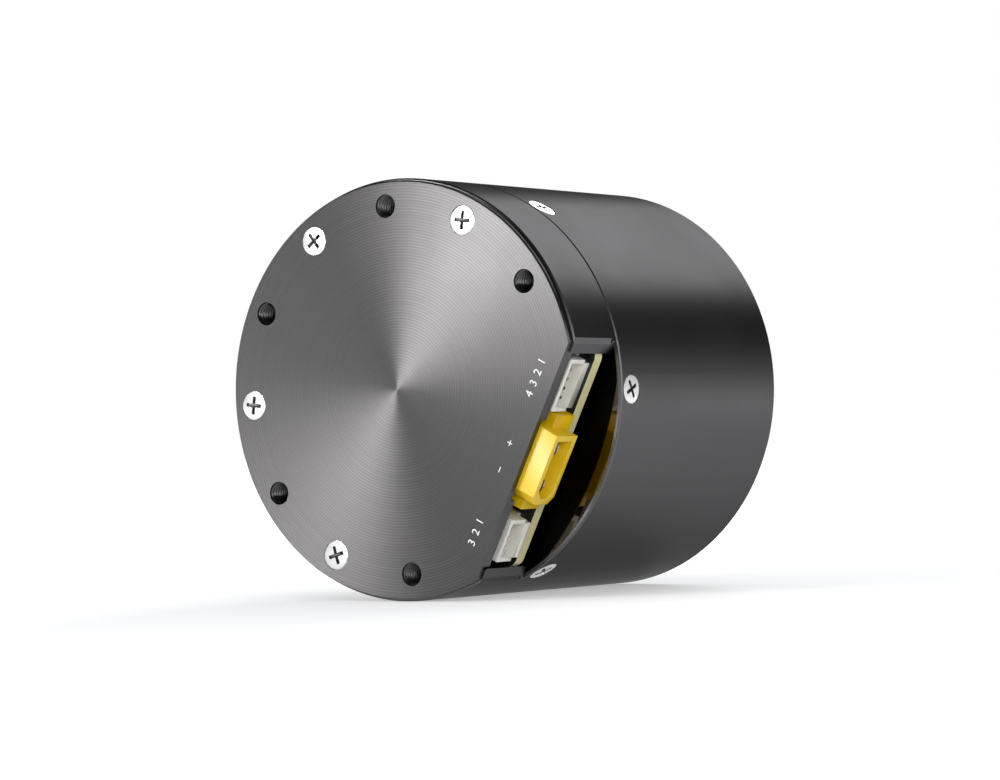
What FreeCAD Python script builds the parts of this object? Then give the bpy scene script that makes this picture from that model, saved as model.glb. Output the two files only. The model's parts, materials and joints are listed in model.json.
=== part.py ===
"""Robot joint actuator: motor driver, outrunner motor and two-stage planetary gearbox in one round case.

The output axis is +Y and the rear cover's face lies in the plane y = 0. While the pieces are made, the
flat on the rear of the case faces +X; the whole part is turned about its axis as each node is written.
Every length is in millimetres and every angle in degrees.
"""
import FreeCAD, Part
import math
import os

# ---- Driving dimensions ------------------------------------------------------------------------

# Fits
locating_gap = 0.03      # radial clearance of pieces that centre in each other
running_gap = 0.04       # radial clearance of a journal or planet bearing
overshoot = 1.0          # how far cutting tools run past what they cut

# Case
case_diameter = 53.0
case_wall = 1.0
clocking = 26.7          # turn of the finished part about +Y
flat_cut = 5.6           # skin to the flat that opens the driver bay, at its deepest
seam_step = 0.2          # floor of the driver bay to the joint between rear housing and sleeve
floor_thickness = 2.2
corner_radius = 0.7      # inside corner between bay wall and floor
edge_chamfer = 0.4
fine_chamfer = 0.2
spigot_gap = 0.45        # rear housing's spigot in the sleeve to the rotor
spigot_bore = 43.0       # inside diameter of that spigot

# Rear cover plate and the rear mounting holes
plate_thickness = 1.8
plate_rim = 0.8          # thickness of the rim that covers the bay wall
plate_overlap = 0.7      # how far that rim reaches past the bay wall's inside
plate_setback = 0.3      # plate edge behind the flat
mount_inset = 3.4        # skin to the bolt circle of either end
mount_hole = 3.0         # M3
mount_post = 5.2
mount_post_length = 3.0
mount_count = 6

# Countersunk screws of the case, M2
screw_thread = 2.0
screw_head = 3.7
plate_screw_length = 6.0
sleeve_screw_length = 3.0
cover_screw_length = 8.0
sleeve_screw_depth = 2.49     # screw centre to the seam
sleeve_screw_clocking = 25.2

# Driver board
board_gap = 1.55         # board to the bay floor
board_thickness = 1.6
board_clearance = 0.3    # board edge to the bay wall
board_corner = 1.5
board_screw_inset = 6.7  # board edge to the standoffs' centres
board_screw_head = 3.6
board_screw_head_height = 1.2
board_screw_length = 4.0
standoff_diameter = 3.4
chip_height = 1.2
chip_gap = 0.8           # between packages side by side
controller_side = 9.0
driver_side = 6.75
transistor_length = 6.0
transistor_width = 5.0
transistor_pitch = 6.4
transistor_start = 4.0   # axis to the middle of the nearer row
transistors_in_row = 3
capacitor_diameter = 5.0
capacitor_height = 4.4
component_gap = 0.6      # tallest part on the board to the cover plate
capacitor_inset = 7.7    # board edge to the capacitors' centres
capacitor_angles = (155, 205, 225)
encoder_side = 4.0
encoder_height = 0.9

# Power connector, two round pins
power_width = 9.3
power_height = 4.6
power_top = 1.3          # board to the near side of the shell
power_reach = 2.5        # shell beyond the board edge
power_length = 10.5
power_shell = 0.75
power_socket_depth = 4.2
power_key = 1.0
power_pin = 2.0
power_pitch = 5.0
power_pin_recess = 0.8
power_pin_start = 1.0    # back of the shell to the pins
power_room = 0.8         # round the shell, in the cover plate's pocket
ear_width = 12.7
ear_height = 4.0
ear_reach = 0.3
ear_length = 7.2
ear_hole = 0.9
ear_hole_depth = 2.0

# Signal headers
header_pitch = 1.25
header_ends = 3.25       # header width over its outermost contacts
header_height = 4.4
header_length = 4.25
header_wall = 0.6
header_socket_depth = 2.9
header_floor = 1.2       # socket to the board
header_notch = 1.8       # depth of the latch notches at the mouth
header_notch_width = 0.45
contact_side = 0.4
contact_tail = 1.2
can_contacts = 4
can_offset = 10.05       # along the flat, from the axis
can_setback = 0.45
uart_contacts = 3
uart_offset = -10.9
uart_setback = 0.0

# Motor
motor_bearing_bore = 12.0
motor_bearing_outside = 18.0
motor_bearing_width = 4.0
bearing_race = 1.1
shield_inset = 0.2
rear_bearing_inset = 0.6     # floor face to the rear bearing
front_bearing_offset = 9.65  # floor face to the front bearing
bearing_shoulder = 1.0
stator_bore = 22.0
rotor_room = 5.3         # case's skin to the stator's outside
stator_length = 7.0
slot_count = 24
tooth_width = 2.4
shoe_height = 0.9
slot_opening = 1.0
yoke_width = 2.9
winding_gap = 0.05
winding_overhang = 1.6
winding_start = 1.75         # floor front face to the windings
air_gap = 0.4
magnet_count = 28
magnet_width = 4.2
magnet_thickness = 1.5
magnet_length = 7.6
bell_wall = 1.2
bell_web = 1.4
bell_gap = 0.5               # windings to the bell's web
shaft_flange = 15.0
encoder_magnet_diameter = 6.0
encoder_magnet_length = 2.5
lead_diameter = 1.2
lead_hole = 2.0
lead_angles = (135, 150, 165)

# Gearbox, both stages alike in tooth form
ring_wall = 3.77             # ring gear's tooth roots to its outside; it sets the module
pressure_angle = 25.0
addendum = 0.8               # tooth tip above the pitch circle, in modules
dedendum = 1.0               # tooth root below the pitch circle, in modules
flank_play = 0.06            # thinning of every tooth, at the pitch circle
sun_teeth = 12
planet_teeth = 24
planet_count = 3
first_width = 5.0
second_width = 6.0
pin_diameter = 4.0
carrier_thickness = 2.0
carrier_boss = 6.8
carrier_hub = 18.0
partition_thickness = 0.8
partition_clearance = 0.75   # round the sun gear's tips
side_gap = 0.4               # gears and carriers along the axis
motor_gap = 0.5              # bell to the gearbox

# Output end
land_thickness = 1.0         # ring inside the sleeve, between ring gear and front cover
pin_wall = 0.4               # planet pins to the outside of the output journal
output_bearing_section = 3.5
output_bearing_width = 4.0
output_race = 1.2
cover_lip = 1.2              # output bearing to the case's front face
output_proud = 1.0           # output face beyond the case
output_shoulder = 1.2
output_shoulder_rim = 0.9
output_circle = 22.0
output_hole = 3.0
output_hole_depth = 5.0
output_hole_count = 6
pilot_diameter = 8.0
pilot_depth = 3.0
pin_seat = 4.4
seal_width = 1.85

# ---- Derived places ----------------------------------------------------------------------------

case_radius = case_diameter / 2
bore_radius = case_radius - case_wall
spigot_radius = bore_radius - locating_gap
mount_radius = case_radius - mount_inset
flat_distance = case_radius - flat_cut
floor_depth = plate_thickness + component_gap + capacitor_height + board_thickness + board_gap
seam_depth = floor_depth + seam_step
floor_front = floor_depth + floor_thickness
board_front = floor_depth - board_gap
board_rear = board_front - board_thickness
board_radius = bore_radius - board_clearance
standoff_radius = board_radius - board_screw_inset
capacitor_radius = board_radius - capacitor_inset

shaft_radius = motor_bearing_bore / 2 - locating_gap / 2
bearing_seat = motor_bearing_outside / 2 + locating_gap / 2
rear_bearing = floor_depth + rear_bearing_inset
front_bearing = floor_depth + front_bearing_offset
tube_end = front_bearing + motor_bearing_width
stator_radius = case_radius - rotor_room
tube_radius = stator_bore / 2 - locating_gap
winding_inside = stator_bore / 2 + yoke_width + 2 * winding_gap
winding_outside = stator_radius - shoe_height - slot_opening
lead_radius = (winding_inside + winding_outside) / 2
winding_rear = floor_front + winding_start
stator_rear = winding_rear + winding_overhang
stator_front = stator_rear + stator_length
winding_front = stator_front + winding_overhang
bell_inside = math.hypot(stator_radius + air_gap + magnet_thickness + locating_gap, magnet_width / 2)
bell_radius = bell_inside + bell_wall
web_rear = winding_front + bell_gap
web_front = web_rear + bell_web
magnet_rear = (stator_rear + stator_front - magnet_length) / 2
bell_rear = magnet_rear - fine_chamfer
spigot_end = bell_rear - spigot_gap
shaft_rear = rear_bearing - fine_chamfer

ring_teeth = sun_teeth + 2 * planet_teeth
gear_module = 2 * (spigot_radius - ring_wall) / (ring_teeth + 2 * dedendum)
stage_teeth = sun_teeth + ring_teeth
planet_orbit = gear_module * (sun_teeth + planet_teeth) / 2
ring_root = gear_module * (ring_teeth / 2 + dedendum)
sun_tip = gear_module * (sun_teeth / 2 + addendum)
partition_hole = sun_tip + partition_clearance
partition_radius = (ring_root + spigot_radius) / 2
ring_rear = web_front + motor_gap
partition_front = ring_rear + partition_thickness
first_rear = partition_front + side_gap
first_front = first_rear + first_width
carrier_rear = first_front + side_gap
carrier_front = carrier_rear + carrier_thickness
second_rear = carrier_front + side_gap
second_front = second_rear + second_width
output_rear = second_front + side_gap
bearing_rear = output_rear + output_shoulder
bearing_front = bearing_rear + output_bearing_width
case_length = bearing_front + cover_lip
output_front = case_length + output_proud
land_rear = bearing_rear
land_front = land_rear + land_thickness
land_radius = ring_root
cover_spigot = land_radius - locating_gap
output_bearing_bore = 2 * (planet_orbit + pin_diameter / 2 + pin_wall)
output_bearing_outside = output_bearing_bore + 2 * output_bearing_section
output_radius = output_bearing_bore / 2 - locating_gap / 2
cover_seat = output_bearing_outside / 2 + locating_gap / 2

AXIS = FreeCAD.Vector(0, 1, 0)
CENTRE = FreeCAD.Vector(0, 0, 0)

# ---- Operations --------------------------------------------------------------------------------


def spot(radius, angle):
    """Point at a radius and an angle that runs from +X towards +Z."""
    turned_by = math.radians(angle)
    return FreeCAD.Vector(radius * math.cos(turned_by), 0, radius * math.sin(turned_by))


def turn(shape, angle):
    """Copy of a shape turned about the axis, from +X towards +Z."""
    copy = shape.copy()
    copy.rotate(CENTRE, AXIS, -angle)
    return copy


def shift(shape, place):
    copy = shape.copy()
    copy.translate(place)
    return copy


def spaced(count, start=0.0):
    """Equally spaced angles round the axis."""
    return [start + 360.0 * index / count for index in range(count)]


def rod(radius, start, end, place=CENTRE):
    """Cylinder along +Y between two depths."""
    return Part.makeCylinder(radius, end - start, FreeCAD.Vector(place.x, start, place.z), AXIS)


def turned(*outline):
    """Solid of revolution about the axis of a closed outline of (radius, depth) points."""
    points = [FreeCAD.Vector(radius, depth, 0) for radius, depth in outline]
    face = Part.Face(Part.makePolygon(points + points[:1]))
    return face.revolve(CENTRE, AXIS, 360)


def plate(outline, start, end):
    """Prism along +Y of a closed outline of points in the XZ plane."""
    points = [FreeCAD.Vector(point.x, start, point.z) for point in outline]
    face = Part.Face(Part.makePolygon(points + points[:1]))
    return face.extrude(FreeCAD.Vector(0, end - start, 0))


def block(x_range, y_range, z_range):
    corner = FreeCAD.Vector(x_range[0], y_range[0], z_range[0])
    size = [high - low for low, high in (x_range, y_range, z_range)]
    return Part.makeBox(size[0], size[1], size[2], corner)


def clean(shape):
    """The shape with faces merged where they carry on in one surface."""
    return shape.removeSplitter()


def write(node, *solids):
    """Turn a node's solids to the finished clocking and write them as parts/NODE.step."""
    group = Part.makeCompound([solid for shape in solids for solid in shape.Solids])
    group.rotate(CENTRE, AXIS, clocking)
    group.exportStep(os.path.join("parts", node + ".step"))


# ---- Fasteners ---------------------------------------------------------------------------------


def countersunk(length, gap=0.0):
    """Flat-head screw with its head face in y = 0 and its thread along +Y.

    With a gap it is the tool that sinks the head's seat and bores the hole.
    """
    head = screw_head / 2 + gap
    thread = screw_thread / 2 + gap
    above = [(0, -overshoot), (head, -overshoot)] if gap else [(0, 0)]
    return turned(*above, (head, 0), (thread, head - thread), (thread, length + gap), (0, length + gap))


def facing_rear(shape, angle, depth=0.0):
    """Put a screw or its tool on the mounting circle, driven from the rear towards +Y."""
    place = spot(mount_radius, angle)
    return shift(shape, FreeCAD.Vector(place.x, depth, place.z))


def facing_front(shape, angle, depth):
    """Put a screw or its tool on the mounting circle, driven from the front towards -Y."""
    flipped = shape.copy()
    flipped.rotate(CENTRE, FreeCAD.Vector(1, 0, 0), 180)
    return facing_rear(flipped, angle, depth)


def facing_outwards(shape, angle):
    """Put a screw or its tool in the sleeve's skin, its head's rim flush, driven towards the axis."""
    inward = shape.copy()
    inward.rotate(CENTRE, FreeCAD.Vector(0, 0, 1), 90)
    depth = seam_depth + sleeve_screw_depth
    face = math.sqrt(case_radius ** 2 - (screw_head / 2) ** 2)
    return turn(shift(inward, FreeCAD.Vector(face, depth, 0)), angle)


mount_angles = spaced(mount_count)
rear_mount_angles = mount_angles[1:]
between_mounts = spaced(mount_count, 180.0 / mount_count)
plate_screw_angles = between_mounts[1:-1]
sleeve_screw_angles = spaced(mount_count, sleeve_screw_clocking)

# ---- Rear housing and its cover ----------------------------------------------------------------


def behind_flat(setback, depth):
    """Tool that takes away everything beyond the flat, down to a depth."""
    return block((flat_distance - setback, case_diameter), (-overshoot, depth),
                 (-case_diameter, case_diameter))


def make_end_plate():
    rim = bore_radius + plate_overlap
    body = turned((0, 0), (rim - fine_chamfer, 0), (rim, fine_chamfer), (rim, plate_rim),
                  (spigot_radius, plate_rim), (spigot_radius, plate_thickness), (0, plate_thickness))
    for angle in rear_mount_angles:
        post = rod(mount_post / 2, plate_thickness, plate_thickness + mount_post_length,
                   spot(mount_radius, angle))
        body = body.fuse(post.common(rod(spigot_radius, 0, case_length)))
    tools = [behind_flat(plate_setback, case_length)]
    for angle in rear_mount_angles:
        tools.append(rod(mount_hole / 2, -overshoot, case_length, spot(mount_radius, angle)))
    for angle in plate_screw_angles:
        tools.append(facing_rear(countersunk(plate_screw_length, locating_gap), angle))
    shell_top = board_rear - power_top - power_height
    room = power_width / 2 + power_room
    tools.append(block((power_back() - fine_chamfer, case_diameter), (shell_top, case_length), (-room, room)))
    return clean(body.cut(tools))


def bay_corner():
    """Points of the rounded corner between the bay's wall and its floor, as (radius, depth)."""
    centre = (bore_radius - corner_radius, floor_depth - corner_radius)
    steps = 4
    return [(centre[0] + corner_radius * math.cos(math.radians(90.0 * step / steps)),
             centre[1] + corner_radius * math.sin(math.radians(90.0 * step / steps)))
            for step in range(steps + 1)]


def wall_end_chamfer(side):
    """Wedge that breaks the outer edge where the bay's wall meets the flat."""
    corner = math.degrees(math.acos(flat_distance / case_radius))
    step = math.degrees(edge_chamfer / case_radius)
    on_flat = FreeCAD.Vector(flat_distance, 0, side * (spot(case_radius, corner).z - edge_chamfer))
    on_skin = spot(case_radius, side * (corner + step))
    outside = spot(case_radius + edge_chamfer, side * (corner - step))
    return plate([on_flat, on_skin, outside], plate_rim - fine_chamfer, floor_depth - corner_radius)


def make_rear_housing():
    seat = bearing_seat
    shoulder = seat - bearing_shoulder
    body = turned((bore_radius, plate_rim), (case_radius - fine_chamfer, plate_rim),
                  (case_radius, plate_rim + fine_chamfer), (case_radius, seam_depth),
                  (spigot_radius, seam_depth), (spigot_radius, spigot_end),
                  (spigot_bore / 2, spigot_end), (spigot_bore / 2, floor_front),
                  (tube_radius, floor_front), (tube_radius, tube_end), (seat, tube_end),
                  (seat, front_bearing), (shoulder, front_bearing),
                  (shoulder, rear_bearing + motor_bearing_width),
                  (seat, rear_bearing + motor_bearing_width), (seat, floor_depth),
                  *reversed(bay_corner()))
    additions = []
    for angle in plate_screw_angles:
        boss = rod(mount_post / 2, plate_thickness, floor_front, spot(mount_radius, angle))
        additions.append(boss.common(rod(spigot_radius, 0, floor_front)))
    for angle in standoff_angles:
        additions.append(rod(standoff_diameter / 2, board_front, floor_front,
                             spot(standoff_radius, angle)))
    body = body.fuse(additions)
    tools = [behind_flat(0, floor_depth), wall_end_chamfer(1), wall_end_chamfer(-1)]
    for angle in plate_screw_angles:
        tools.append(facing_rear(countersunk(plate_screw_length, locating_gap), angle))
    for angle in sleeve_screw_angles:
        tools.append(facing_outwards(countersunk(sleeve_screw_length, locating_gap), angle))
    for angle in standoff_angles:
        tools.append(rod(screw_thread / 2 + locating_gap, board_front - overshoot,
                         board_rear + board_screw_length + locating_gap, spot(standoff_radius, angle)))
    for angle in lead_angles:
        tools.append(rod(lead_hole / 2, floor_depth - overshoot, floor_front + overshoot,
                         spot(lead_radius, angle)))
    return clean(body.cut(tools))


# ---- Driver board and its connectors -----------------------------------------------------------

standoff_angles = spaced(3, 60.0)


def make_board():
    body = rod(board_radius, board_rear, board_front).cut(behind_flat(0, case_length)).Solids[0]
    corners = [edge for edge in body.Edges
               if edge.BoundBox.ZLength < 0.01 and abs(edge.BoundBox.XMin - flat_distance) < 0.01]
    body = body.makeFillet(board_corner, corners)
    tools = []
    for angle in plate_screw_angles:
        tools.append(rod(mount_post / 2 + board_clearance, board_rear - overshoot, board_front + overshoot,
                         spot(mount_radius, angle)))
    for angle in standoff_angles:
        tools.append(rod(screw_thread / 2 + 2 * locating_gap, board_rear - overshoot, board_front + overshoot,
                         spot(standoff_radius, angle)))
    return clean(body.cut(tools))


def make_board_screws():
    head = board_screw_head / 2
    screw = turned((0, board_rear - board_screw_head_height), (head, board_rear - board_screw_head_height),
                   (head, board_rear), (screw_thread / 2, board_rear),
                   (screw_thread / 2, board_rear + board_screw_length),
                   (0, board_rear + board_screw_length))
    return [shift(screw, spot(standoff_radius, angle)) for angle in standoff_angles]


def on_board(x_centre, z_centre, length, width, height):
    """Flat component on the board's rear face."""
    return block((x_centre - length / 2, x_centre + length / 2), (board_rear - height, board_rear),
                 (z_centre - width / 2, z_centre + width / 2))


def make_chips():
    """Controller and gate driver, side by side behind the middle of the board."""
    apart = (controller_side + chip_gap) / 2
    return [on_board(-apart, apart, controller_side, controller_side, chip_height),
            on_board(-apart, -apart, driver_side, driver_side, chip_height)]


def make_transistors():
    """Two rows of three power transistors between the chips and the power connector."""
    packages = []
    for index in range(transistors_in_row):
        along = (index - (transistors_in_row - 1) / 2) * transistor_pitch
        for across in (transistor_start, transistor_start + transistor_width + chip_gap):
            packages.append(on_board(across, along, transistor_width, transistor_length, chip_height))
    return packages


def make_capacitors():
    """Bulk capacitors in an arc at the far side of the board from the flat."""
    return [rod(capacitor_diameter / 2, board_rear - capacitor_height, board_rear,
                spot(capacitor_radius, angle)) for angle in capacitor_angles]


def make_encoder_chip():
    half = encoder_side / 2
    return block((-half, half), (board_front, board_front + encoder_height), (-half, half))


def power_back():
    return flat_distance + power_reach - power_length


def power_section(half_width, top, bottom, key, start, end):
    """Prism along +X of a rectangle whose two corners at the negative end are cut away."""
    points = [(top, half_width), (bottom, half_width), (bottom, key - half_width),
              (bottom - key, -half_width), (top + key, -half_width), (top, key - half_width)]
    corners = [FreeCAD.Vector(start, y, z) for y, z in points]
    face = Part.Face(Part.makePolygon(corners + corners[:1]))
    return face.extrude(FreeCAD.Vector(end - start, 0, 0))


def power_pin_row(radius, start, end):
    middle = board_rear - power_top - power_height / 2
    return [Part.makeCylinder(radius, end - start, FreeCAD.Vector(start, middle, side * power_pitch / 2),
                              FreeCAD.Vector(1, 0, 0)) for side in (1, -1)]


def make_power_connector():
    front = flat_distance + power_reach
    bottom = board_rear - power_top
    top = bottom - power_height
    shell = power_section(power_width / 2, top, bottom, power_key, power_back(), front)
    ear_front = flat_distance + ear_reach
    ears = block((ear_front - ear_length, ear_front), (board_rear - ear_height, board_rear),
                 (-ear_width / 2, ear_width / 2))
    tools = [power_section(power_width / 2 - power_shell, top + power_shell, bottom - power_shell,
                           power_key, front - power_socket_depth, front + overshoot)]
    tools += power_pin_row(power_pin / 2 + locating_gap, power_back() + power_pin_start, front)
    hole_place = (ear_width + power_width) / 4
    ear_top = board_rear - ear_height
    for side in (1, -1):
        tools.append(rod(ear_hole / 2, ear_top - overshoot, ear_top + ear_hole_depth,
                         FreeCAD.Vector(ear_front - ear_length / 2, 0, side * hole_place)))
    return clean(shell.fuse(ears).cut(tools))


def make_power_pins():
    tip = flat_distance + power_reach - power_pin_recess
    return power_pin_row(power_pin / 2, power_back() + power_pin_start, tip)


def header_width(contacts):
    return header_pitch * (contacts - 1) + header_ends


def make_header(contacts, offset, setback):
    """Side-entry header that stands on the board with its socket towards the flat."""
    front = flat_distance - setback
    half = header_width(contacts) / 2
    top = board_rear - header_height
    body = block((front - header_length, front), (top, board_rear), (offset - half, offset + half))
    inner = half - header_wall
    tools = [block((front - header_socket_depth, front + overshoot),
                   (top + header_wall, board_rear - header_floor), (offset - inner, offset + inner))]
    for side in (1, -1):
        edges = sorted((offset + side * (half + overshoot), offset + side * (half - header_notch_width)))
        tools.append(block((front - header_notch, front + overshoot),
                           (board_rear - header_floor, board_rear + overshoot), edges))
    return clean(body.cut(tools))


def make_contacts(contacts, offset, setback):
    """Blades in a header's socket and their tails on the board behind it."""
    front = flat_distance - setback
    middle = board_rear - header_height / 2 - header_wall / 2
    pieces = []
    for index in range(contacts):
        place = offset + header_pitch * (index - (contacts - 1) / 2)
        across = (place - contact_side / 2, place + contact_side / 2)
        pieces.append(block((front - header_socket_depth, front - header_wall),
                            (middle - contact_side / 2, middle + contact_side / 2), across))
        pieces.append(block((front - header_length - contact_tail, front - header_length),
                            (board_rear - contact_side, board_rear), across))
    return pieces


# ---- Bearings ----------------------------------------------------------------------------------


def outer_race(bore, outside, race, width, start):
    """Outer race of a shielded bearing, closed by its shields to just short of the inner race."""
    lip = bore / 2 + race + running_gap
    return turned((lip, start + shield_inset), (outside / 2 - race, start + shield_inset),
                  (outside / 2 - race, start), (outside / 2, start), (outside / 2, start + width),
                  (outside / 2 - race, start + width), (outside / 2 - race, start + width - shield_inset),
                  (lip, start + width - shield_inset))


def inner_race(bore, race, width, start):
    return turned((bore / 2, start), (bore / 2 + race, start), (bore / 2 + race, start + width),
                  (bore / 2, start + width))


def motor_outer_races():
    return [outer_race(motor_bearing_bore, motor_bearing_outside, bearing_race, motor_bearing_width, start)
            for start in (rear_bearing, front_bearing)]


def motor_inner_races():
    return [inner_race(motor_bearing_bore, bearing_race, motor_bearing_width, start)
            for start in (rear_bearing, front_bearing)]


# ---- Motor -------------------------------------------------------------------------------------


def beside_tooth(along, side, offset):
    """Point at a length along a stator tooth's middle and a distance beside it, seen from the slot."""
    half_pitch = math.radians(180.0 / slot_count)
    x = along * math.cos(half_pitch) + offset * math.sin(half_pitch)
    z = along * math.sin(half_pitch) - offset * math.cos(half_pitch)
    return FreeCAD.Vector(x, 0, side * z)


def make_stator_core():
    shoe = stator_radius - shoe_height
    yoke = stator_bore / 2 + yoke_width
    half = slot_opening / 2
    outside = stator_radius + overshoot
    outline = [beside_tooth(yoke, 1, tooth_width / 2), beside_tooth(shoe - half, 1, tooth_width / 2),
               FreeCAD.Vector(shoe, 0, half), FreeCAD.Vector(outside, 0, half),
               FreeCAD.Vector(outside, 0, -half), FreeCAD.Vector(shoe, 0, -half),
               beside_tooth(shoe - half, -1, tooth_width / 2), beside_tooth(yoke, -1, tooth_width / 2)]
    slot = plate(outline, stator_rear - overshoot, stator_front + overshoot)
    ring = turned((stator_bore / 2, stator_rear), (stator_radius, stator_rear),
                  (stator_radius, stator_front), (stator_bore / 2, stator_front))
    return ring.cut([turn(slot, angle) for angle in spaced(slot_count, 180.0 / slot_count)])


def make_coils():
    """One winding round each tooth, wider towards the shoe as the slot is."""
    slope = math.tan(math.radians(180.0 / slot_count))
    spread = math.cos(math.radians(180.0 / slot_count))
    corners = []
    for along, side in ((winding_inside, 1), (winding_outside, 1),
                        (winding_outside, -1), (winding_inside, -1)):
        corners.append(FreeCAD.Vector(along, 0, side * (along * slope - winding_gap / spread)))
    tooth = block((winding_inside - overshoot, winding_outside + overshoot),
                  (stator_rear - winding_gap, stator_front + winding_gap),
                  (-tooth_width / 2 - winding_gap, tooth_width / 2 + winding_gap))
    coil = plate(corners, winding_rear, winding_front).cut(tooth)
    return [turn(coil, angle) for angle in spaced(slot_count)]


def make_phase_leads():
    """Three leads from the windings through the floor to the board."""
    return [rod(lead_diameter / 2, board_front, winding_rear, spot(lead_radius, angle))
            for angle in lead_angles]


def make_bell():
    return turned((bell_inside, bell_rear), (bell_radius, bell_rear), (bell_radius, web_front - edge_chamfer),
                  (bell_radius - edge_chamfer, web_front), (shaft_radius + locating_gap, web_front),
                  (shaft_radius + locating_gap, web_rear), (bell_inside, web_rear))


def make_magnets():
    face = stator_radius + air_gap
    magnet = block((face, face + magnet_thickness), (magnet_rear, magnet_rear + magnet_length),
                   (-magnet_width / 2, magnet_width / 2))
    return [turn(magnet, angle) for angle in spaced(magnet_count)]


def make_rotor_shaft():
    """Shaft with the first sun cut on its front end and a pocket for the encoder magnet in the rear."""
    pocket = encoder_magnet_diameter / 2 + locating_gap
    body = turned((0, shaft_rear + encoder_magnet_length), (pocket, shaft_rear + encoder_magnet_length),
                  (pocket, shaft_rear), (shaft_radius, shaft_rear), (shaft_radius, tube_end),
                  (shaft_flange / 2, tube_end), (shaft_flange / 2, web_rear), (shaft_radius, web_rear),
                  (shaft_radius, web_front), (0, web_front))
    return clean(body.fuse(spur(sun_teeth, web_front, first_front)))


def make_encoder_magnet():
    return rod(encoder_magnet_diameter / 2, shaft_rear, shaft_rear + encoder_magnet_length)


# ---- Gears -------------------------------------------------------------------------------------


def involute(angle):
    return math.tan(angle) - angle


def tooth_outline(teeth, low, high, thickness):
    """Closed outline of a gear with involute flanks, a tooth middle on +X.

    low and high are the root and tip radii, and thickness is the tooth's arc at the pitch circle.
    """
    pitch_radius = gear_module * teeth / 2
    pressure = math.radians(pressure_angle)
    base_radius = pitch_radius * math.cos(pressure)

    def half_angle(radius):
        roll = math.acos(min(1.0, base_radius / radius))
        return thickness / 2 / pitch_radius + involute(pressure) - involute(roll)

    flank = [(radius, math.degrees(half_angle(max(radius, base_radius))))
             for radius in (low, pitch_radius, high)]
    outline = []
    for middle in spaced(teeth):
        outline += [spot(radius, middle - half) for radius, half in flank]
        outline += [spot(radius, middle + half) for radius, half in reversed(flank)]
    return outline


def spur(teeth, start, end):
    """External gear."""
    pitch_radius = gear_module * teeth / 2
    outline = tooth_outline(teeth, pitch_radius - dedendum * gear_module,
                            pitch_radius + addendum * gear_module, math.pi * gear_module / 2 - flank_play)
    return plate(outline, start, end)


def orbit_angles():
    """Angles at which equally spaced planets can be assembled."""
    return [360.0 * round(index * stage_teeth / planet_count) / stage_teeth for index in range(planet_count)]


def make_planet(start, end):
    """Planet gear with its bore on the axis and a tooth space on +X and -X when its teeth are even."""
    gear = turn(spur(planet_teeth, start, end), 180.0 / planet_teeth * (1 + planet_teeth % 2))
    return gear.cut(rod(pin_diameter / 2 + running_gap, start - overshoot, end + overshoot))


def in_orbit(planet, angle):
    """Place a planet in mesh with the sun, rolled round it from +X."""
    rolled = turn(planet, angle * (1 + sun_teeth / planet_teeth))
    return shift(rolled, spot(planet_orbit, angle))


def make_ring_gear():
    """Ring gear of both stages, with a counterbore for the partition and threads for the cover screws."""
    pitch_radius = gear_module * ring_teeth / 2
    space = tooth_outline(ring_teeth, pitch_radius - addendum * gear_module,
                          pitch_radius + dedendum * gear_module, math.pi * gear_module / 2 + flank_play)
    phase = 180.0 / ring_teeth * (1 + planet_teeth % 2)
    blank = rod(spigot_radius, ring_rear, land_rear)
    tools = [turn(plate(space, ring_rear - overshoot, land_rear + overshoot), phase),
             rod(partition_radius + locating_gap, ring_rear - overshoot, partition_front)]
    for angle in between_mounts:
        tools.append(facing_front(countersunk(cover_screw_length, locating_gap), angle, case_length))
    return blank.cut(tools)


def make_partition():
    """Thin plate that keeps the gearbox grease out of the motor."""
    return turned((partition_hole, ring_rear), (partition_radius, ring_rear),
                  (partition_radius, partition_front), (partition_hole, partition_front))


def pin_set(radius, start, end):
    return [rod(radius, start, end, spot(planet_orbit, angle)) for angle in orbit_angles()]


def make_carrier():
    """First carrier: a hub with an arm for each planet pin, and the second sun in one piece with it."""
    body = rod(carrier_hub / 2, carrier_rear, carrier_front)
    for angle in orbit_angles():
        boss = rod(carrier_boss / 2, carrier_rear, carrier_front, spot(planet_orbit, 0))
        arm = block((0, planet_orbit), (carrier_rear, carrier_front), (-carrier_boss / 2, carrier_boss / 2))
        body = body.fuse([turn(boss, angle), turn(arm, angle)])
    body = body.fuse(spur(sun_teeth, carrier_front, second_front))
    return clean(body.cut(pin_set(pin_diameter / 2 + locating_gap / 2,
                                  carrier_rear - overshoot, carrier_front + overshoot)))


# ---- Sleeve and output end ---------------------------------------------------------------------


def make_sleeve():
    body = turned((bore_radius, seam_depth), (case_radius - edge_chamfer, seam_depth),
                  (case_radius, seam_depth + edge_chamfer), (case_radius, case_length - edge_chamfer),
                  (case_radius - edge_chamfer, case_length), (bore_radius, case_length),
                  (bore_radius, land_front), (land_radius, land_front), (land_radius, land_rear),
                  (bore_radius, land_rear))
    tools = [facing_outwards(countersunk(sleeve_screw_length, locating_gap), angle)
             for angle in sleeve_screw_angles]
    for angle in between_mounts:
        tools.append(facing_front(countersunk(cover_screw_length, locating_gap), angle, case_length))
    return clean(body.cut(tools))


def make_front_cover():
    """Front cover with the output bearing's seat, the seal's seat and the front mounting holes."""
    lip = output_radius + seal_width
    body = turned((cover_seat, bearing_rear), (cover_spigot, bearing_rear), (cover_spigot, land_front),
                  (spigot_radius, land_front), (spigot_radius, case_length - fine_chamfer),
                  (spigot_radius - fine_chamfer, case_length), (lip, case_length), (lip, bearing_front),
                  (cover_seat, bearing_front))
    tools = [rod(mount_hole / 2, land_front, case_length + overshoot, spot(mount_radius, angle))
             for angle in mount_angles]
    for angle in between_mounts:
        tools.append(facing_front(countersunk(cover_screw_length, locating_gap), angle, case_length))
    return clean(body.cut(tools))


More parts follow.
